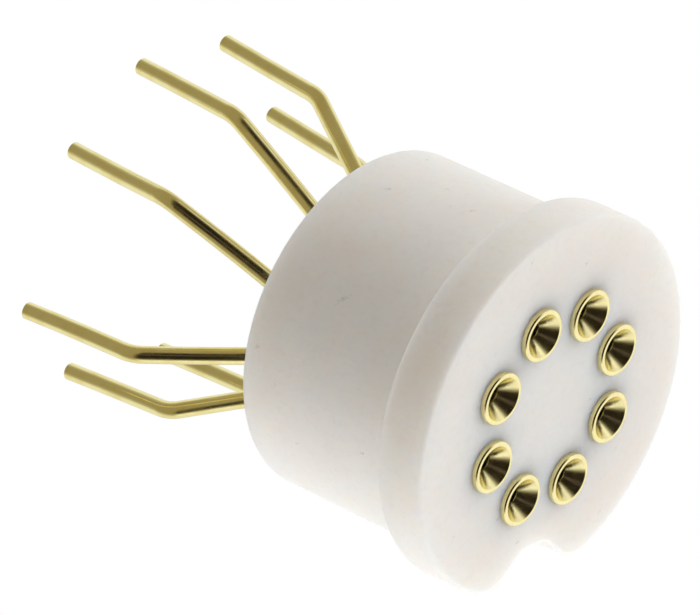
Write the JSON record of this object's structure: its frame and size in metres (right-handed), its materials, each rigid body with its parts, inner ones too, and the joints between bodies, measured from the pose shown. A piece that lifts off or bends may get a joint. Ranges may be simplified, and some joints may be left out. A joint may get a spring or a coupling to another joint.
{
  "type": "subminiature valve socket",
  "caption": "Round plug-in socket for a subminiature valve: white flanged PTFE body with an index notch, gold funnel-mouthed spring contacts on a circle and bent wire leads.",
  "frame": {"origin": "on the body's axis, in the plane of the flange's rear face, which rests on the panel", "axes": "+Z along the body's axis out of the contact face; the index notch is on -Y; contacts are numbered counter-clockwise from the notch, seen from above"},
  "size_m": [0.0104, 0.0101, 0.0143],
  "materials": {
    "ptfe": "white PTFE, matte and slightly waxy, as turned",
    "gold_contact": "turned brass, bright gold plate",
    "gold_spring": "beryllium copper, gold plate",
    "gold_wire": "drawn wire, bright gold plate"
  },
  "bodies": {
    "root": {"insulator_body": "ptfe", "contact_sleeve_1": "gold_contact", "spring_clip_1": "gold_spring", "lead_wire_1": "gold_wire", "contact_sleeve_2": "gold_contact", "spring_clip_2": "gold_spring", "lead_wire_2": "gold_wire", "contact_sleeve_3": "gold_contact", "spring_clip_3": "gold_spring", "lead_wire_3": "gold_wire", "contact_sleeve_4": "gold_contact", "spring_clip_4": "gold_spring", "lead_wire_4": "gold_wire", "contact_sleeve_5": "gold_contact", "spring_clip_5": "gold_spring", "lead_wire_5": "gold_wire", "contact_sleeve_6": "gold_contact", "spring_clip_6": "gold_spring", "lead_wire_6": "gold_wire", "contact_sleeve_7": "gold_contact", "spring_clip_7": "gold_spring", "lead_wire_7": "gold_wire", "contact_sleeve_8": "gold_contact", "spring_clip_8": "gold_spring", "lead_wire_8": "gold_wire"}
  },
  "joints": []
}
